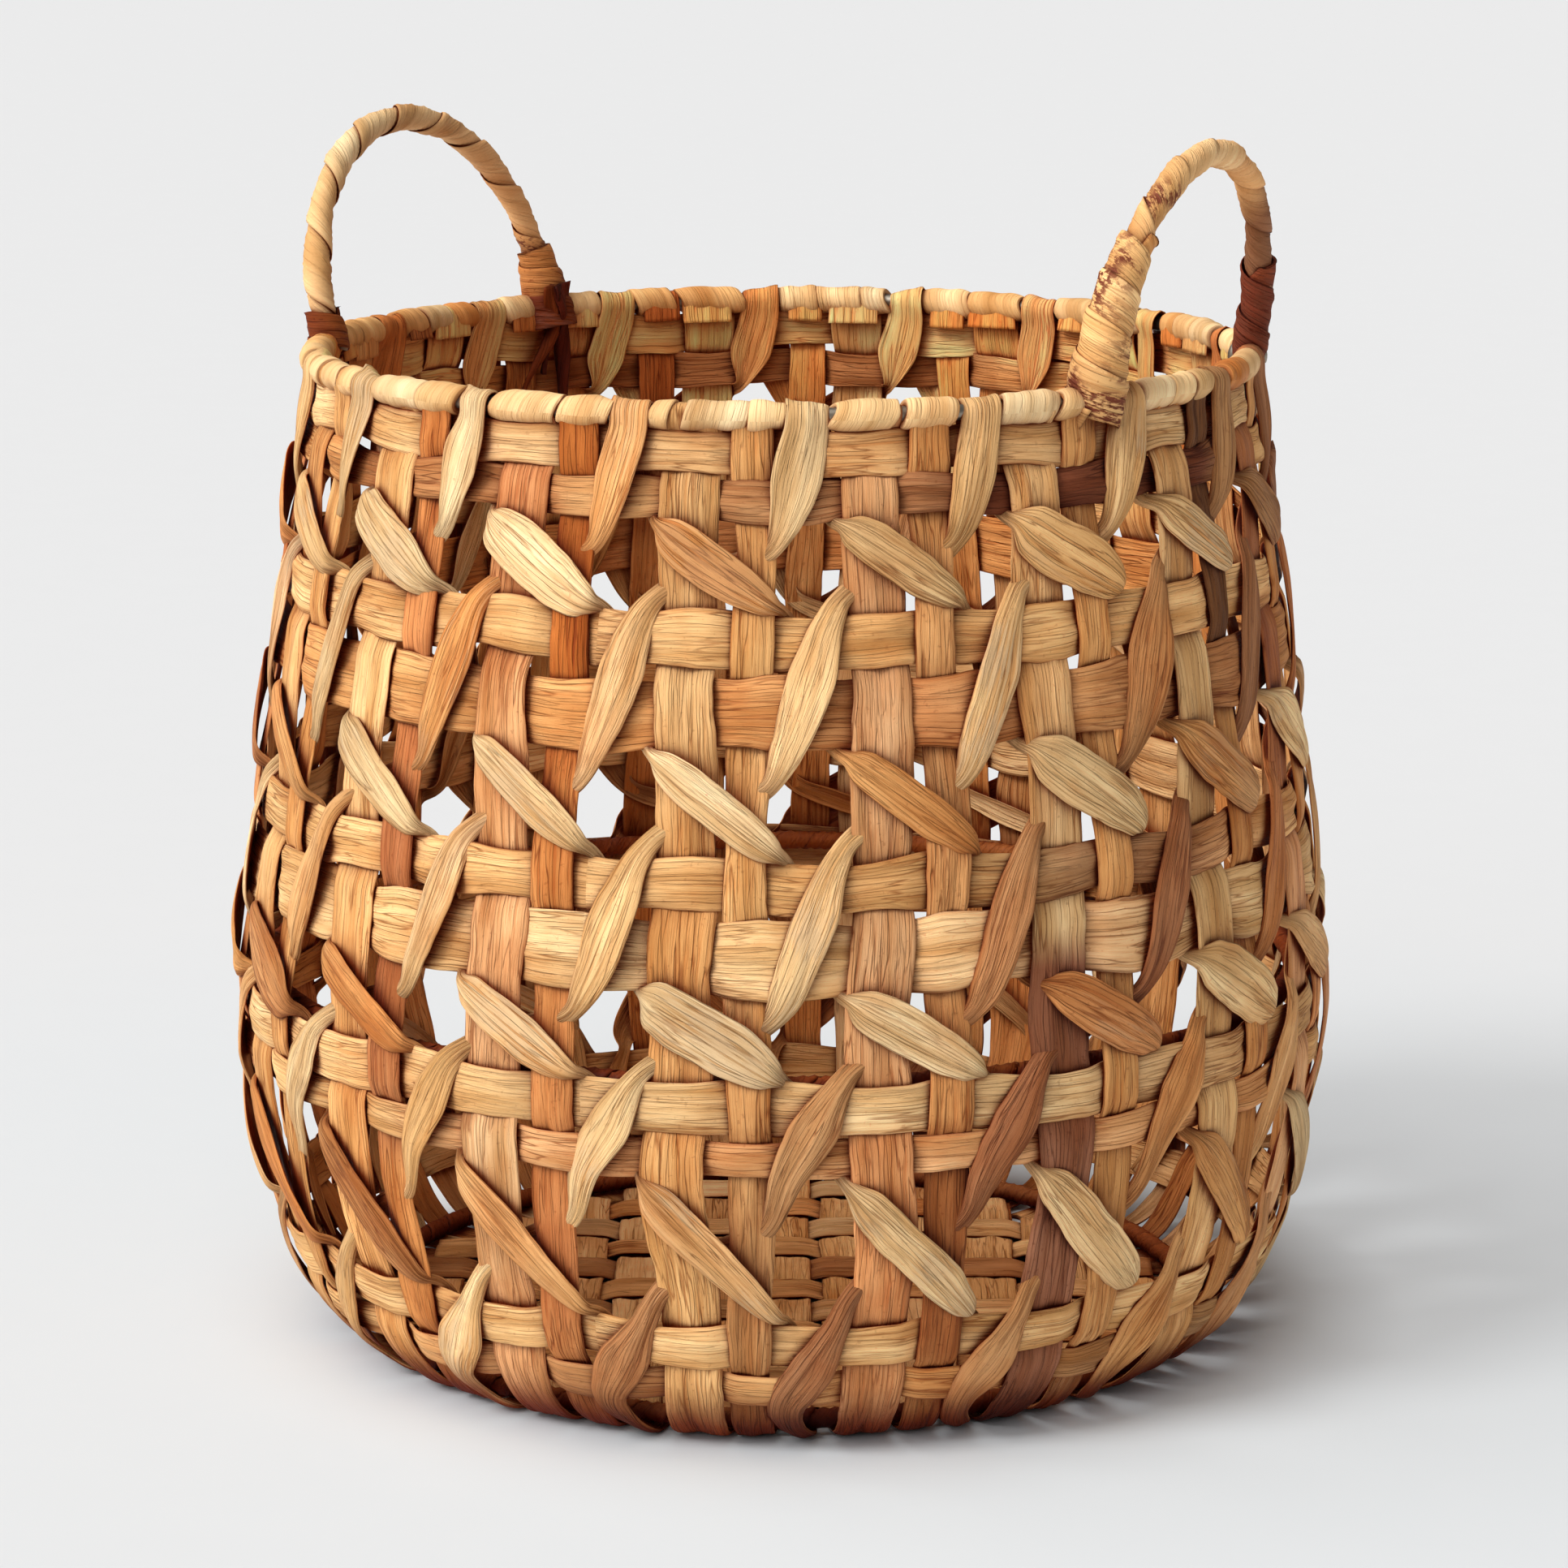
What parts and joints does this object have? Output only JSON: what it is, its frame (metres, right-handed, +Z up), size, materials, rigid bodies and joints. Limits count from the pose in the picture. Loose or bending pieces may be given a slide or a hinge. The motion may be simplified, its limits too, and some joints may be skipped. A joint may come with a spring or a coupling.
{
  "type": "woven wicker basket",
  "caption": "Round floor basket woven in an open six-way cane pattern from flat leaf strips, with a rounded belly, steel hoops and upright bound loop handles on the rim.",
  "frame": {"origin": "on the basket's axis at floor level, under the middle of the base", "axes": "+Z up, -Y to the front, +X to the right as seen from the front; the handles stand at azimuth 63 degrees and 237 degrees from the front towards the right"},
  "size_m": [0.3706, 0.3712, 0.4058],
  "materials": {
    "stake_leaf": "dull dried leaf, golden brown",
    "slanting_leaf": "dull dried leaf, pale tan",
    "band_leaf": "dull dried leaf, light golden tan",
    "binding_leaf": "dull dried leaf, wound tight",
    "foot_leaf": "dull dried leaf, dark brown",
    "steel_wire": "dull grey-bronze"
  },
  "bodies": {
    "root": {"stake_pair_01": "stake_leaf", "stake_pair_02": "stake_leaf", "stake_pair_03": "stake_leaf", "stake_pair_04": "stake_leaf", "stake_pair_05": "stake_leaf", "stake_pair_06": "stake_leaf", "stake_pair_07": "stake_leaf", "stake_pair_08": "stake_leaf", "stake_pair_09": "stake_leaf", "stake_pair_10": "stake_leaf", "stake_pair_11": "stake_leaf", "stake_pair_12": "stake_leaf", "stake_pair_13": "stake_leaf", "stake_pair_14": "stake_leaf", "stake_pair_15": "stake_leaf", "stake_pair_16": "stake_leaf", "stake_pair_17": "stake_leaf", "stake_pair_18": "stake_leaf", "slanting_strip_01": "slanting_leaf", "slanting_strip_02": "slanting_leaf", "slanting_strip_03": "slanting_leaf", "slanting_strip_04": "slanting_leaf", "slanting_strip_05": "slanting_leaf", "slanting_strip_06": "slanting_leaf", "slanting_strip_07": "slanting_leaf", "slanting_strip_08": "slanting_leaf", "slanting_strip_09": "slanting_leaf", "slanting_strip_10": "slanting_leaf", "slanting_strip_11": "slanting_leaf", "slanting_strip_12": "slanting_leaf", "slanting_strip_13": "slanting_leaf", "slanting_strip_14": "slanting_leaf", "slanting_strip_15": "slanting_leaf", "slanting_strip_16": "slanting_leaf", "slanting_strip_17": "slanting_leaf", "slanting_strip_18": "slanting_leaf", "bottom_row_high_band": "band_leaf", "bottom_row_low_band": "band_leaf", "lower_row_high_band": "band_leaf", "lower_row_low_band": "band_leaf", "middle_row_high_band": "band_leaf", "middle_row_low_band": "band_leaf", "upper_row_high_band": "band_leaf", "upper_row_low_band": "band_leaf", "top_row_high_band": "band_leaf", "top_row_low_band": "band_leaf", "rim_wire": "steel_wire", "rim_binding": "binding_leaf", "belly_hoop_wire": "steel_wire", "belly_hoop_binding": "binding_leaf", "base_hoop_wire": "steel_wire", "base_hoop_binding": "binding_leaf", "base_strips_across": "stake_leaf", "base_strips_along": "stake_leaf", "right_handle_core": "steel_wire", "right_handle_binding": "binding_leaf", "right_handle_foot_binding": "foot_leaf", "left_handle_core": "steel_wire", "left_handle_binding": "binding_leaf", "left_handle_foot_binding": "foot_leaf"}
  },
  "joints": []
}
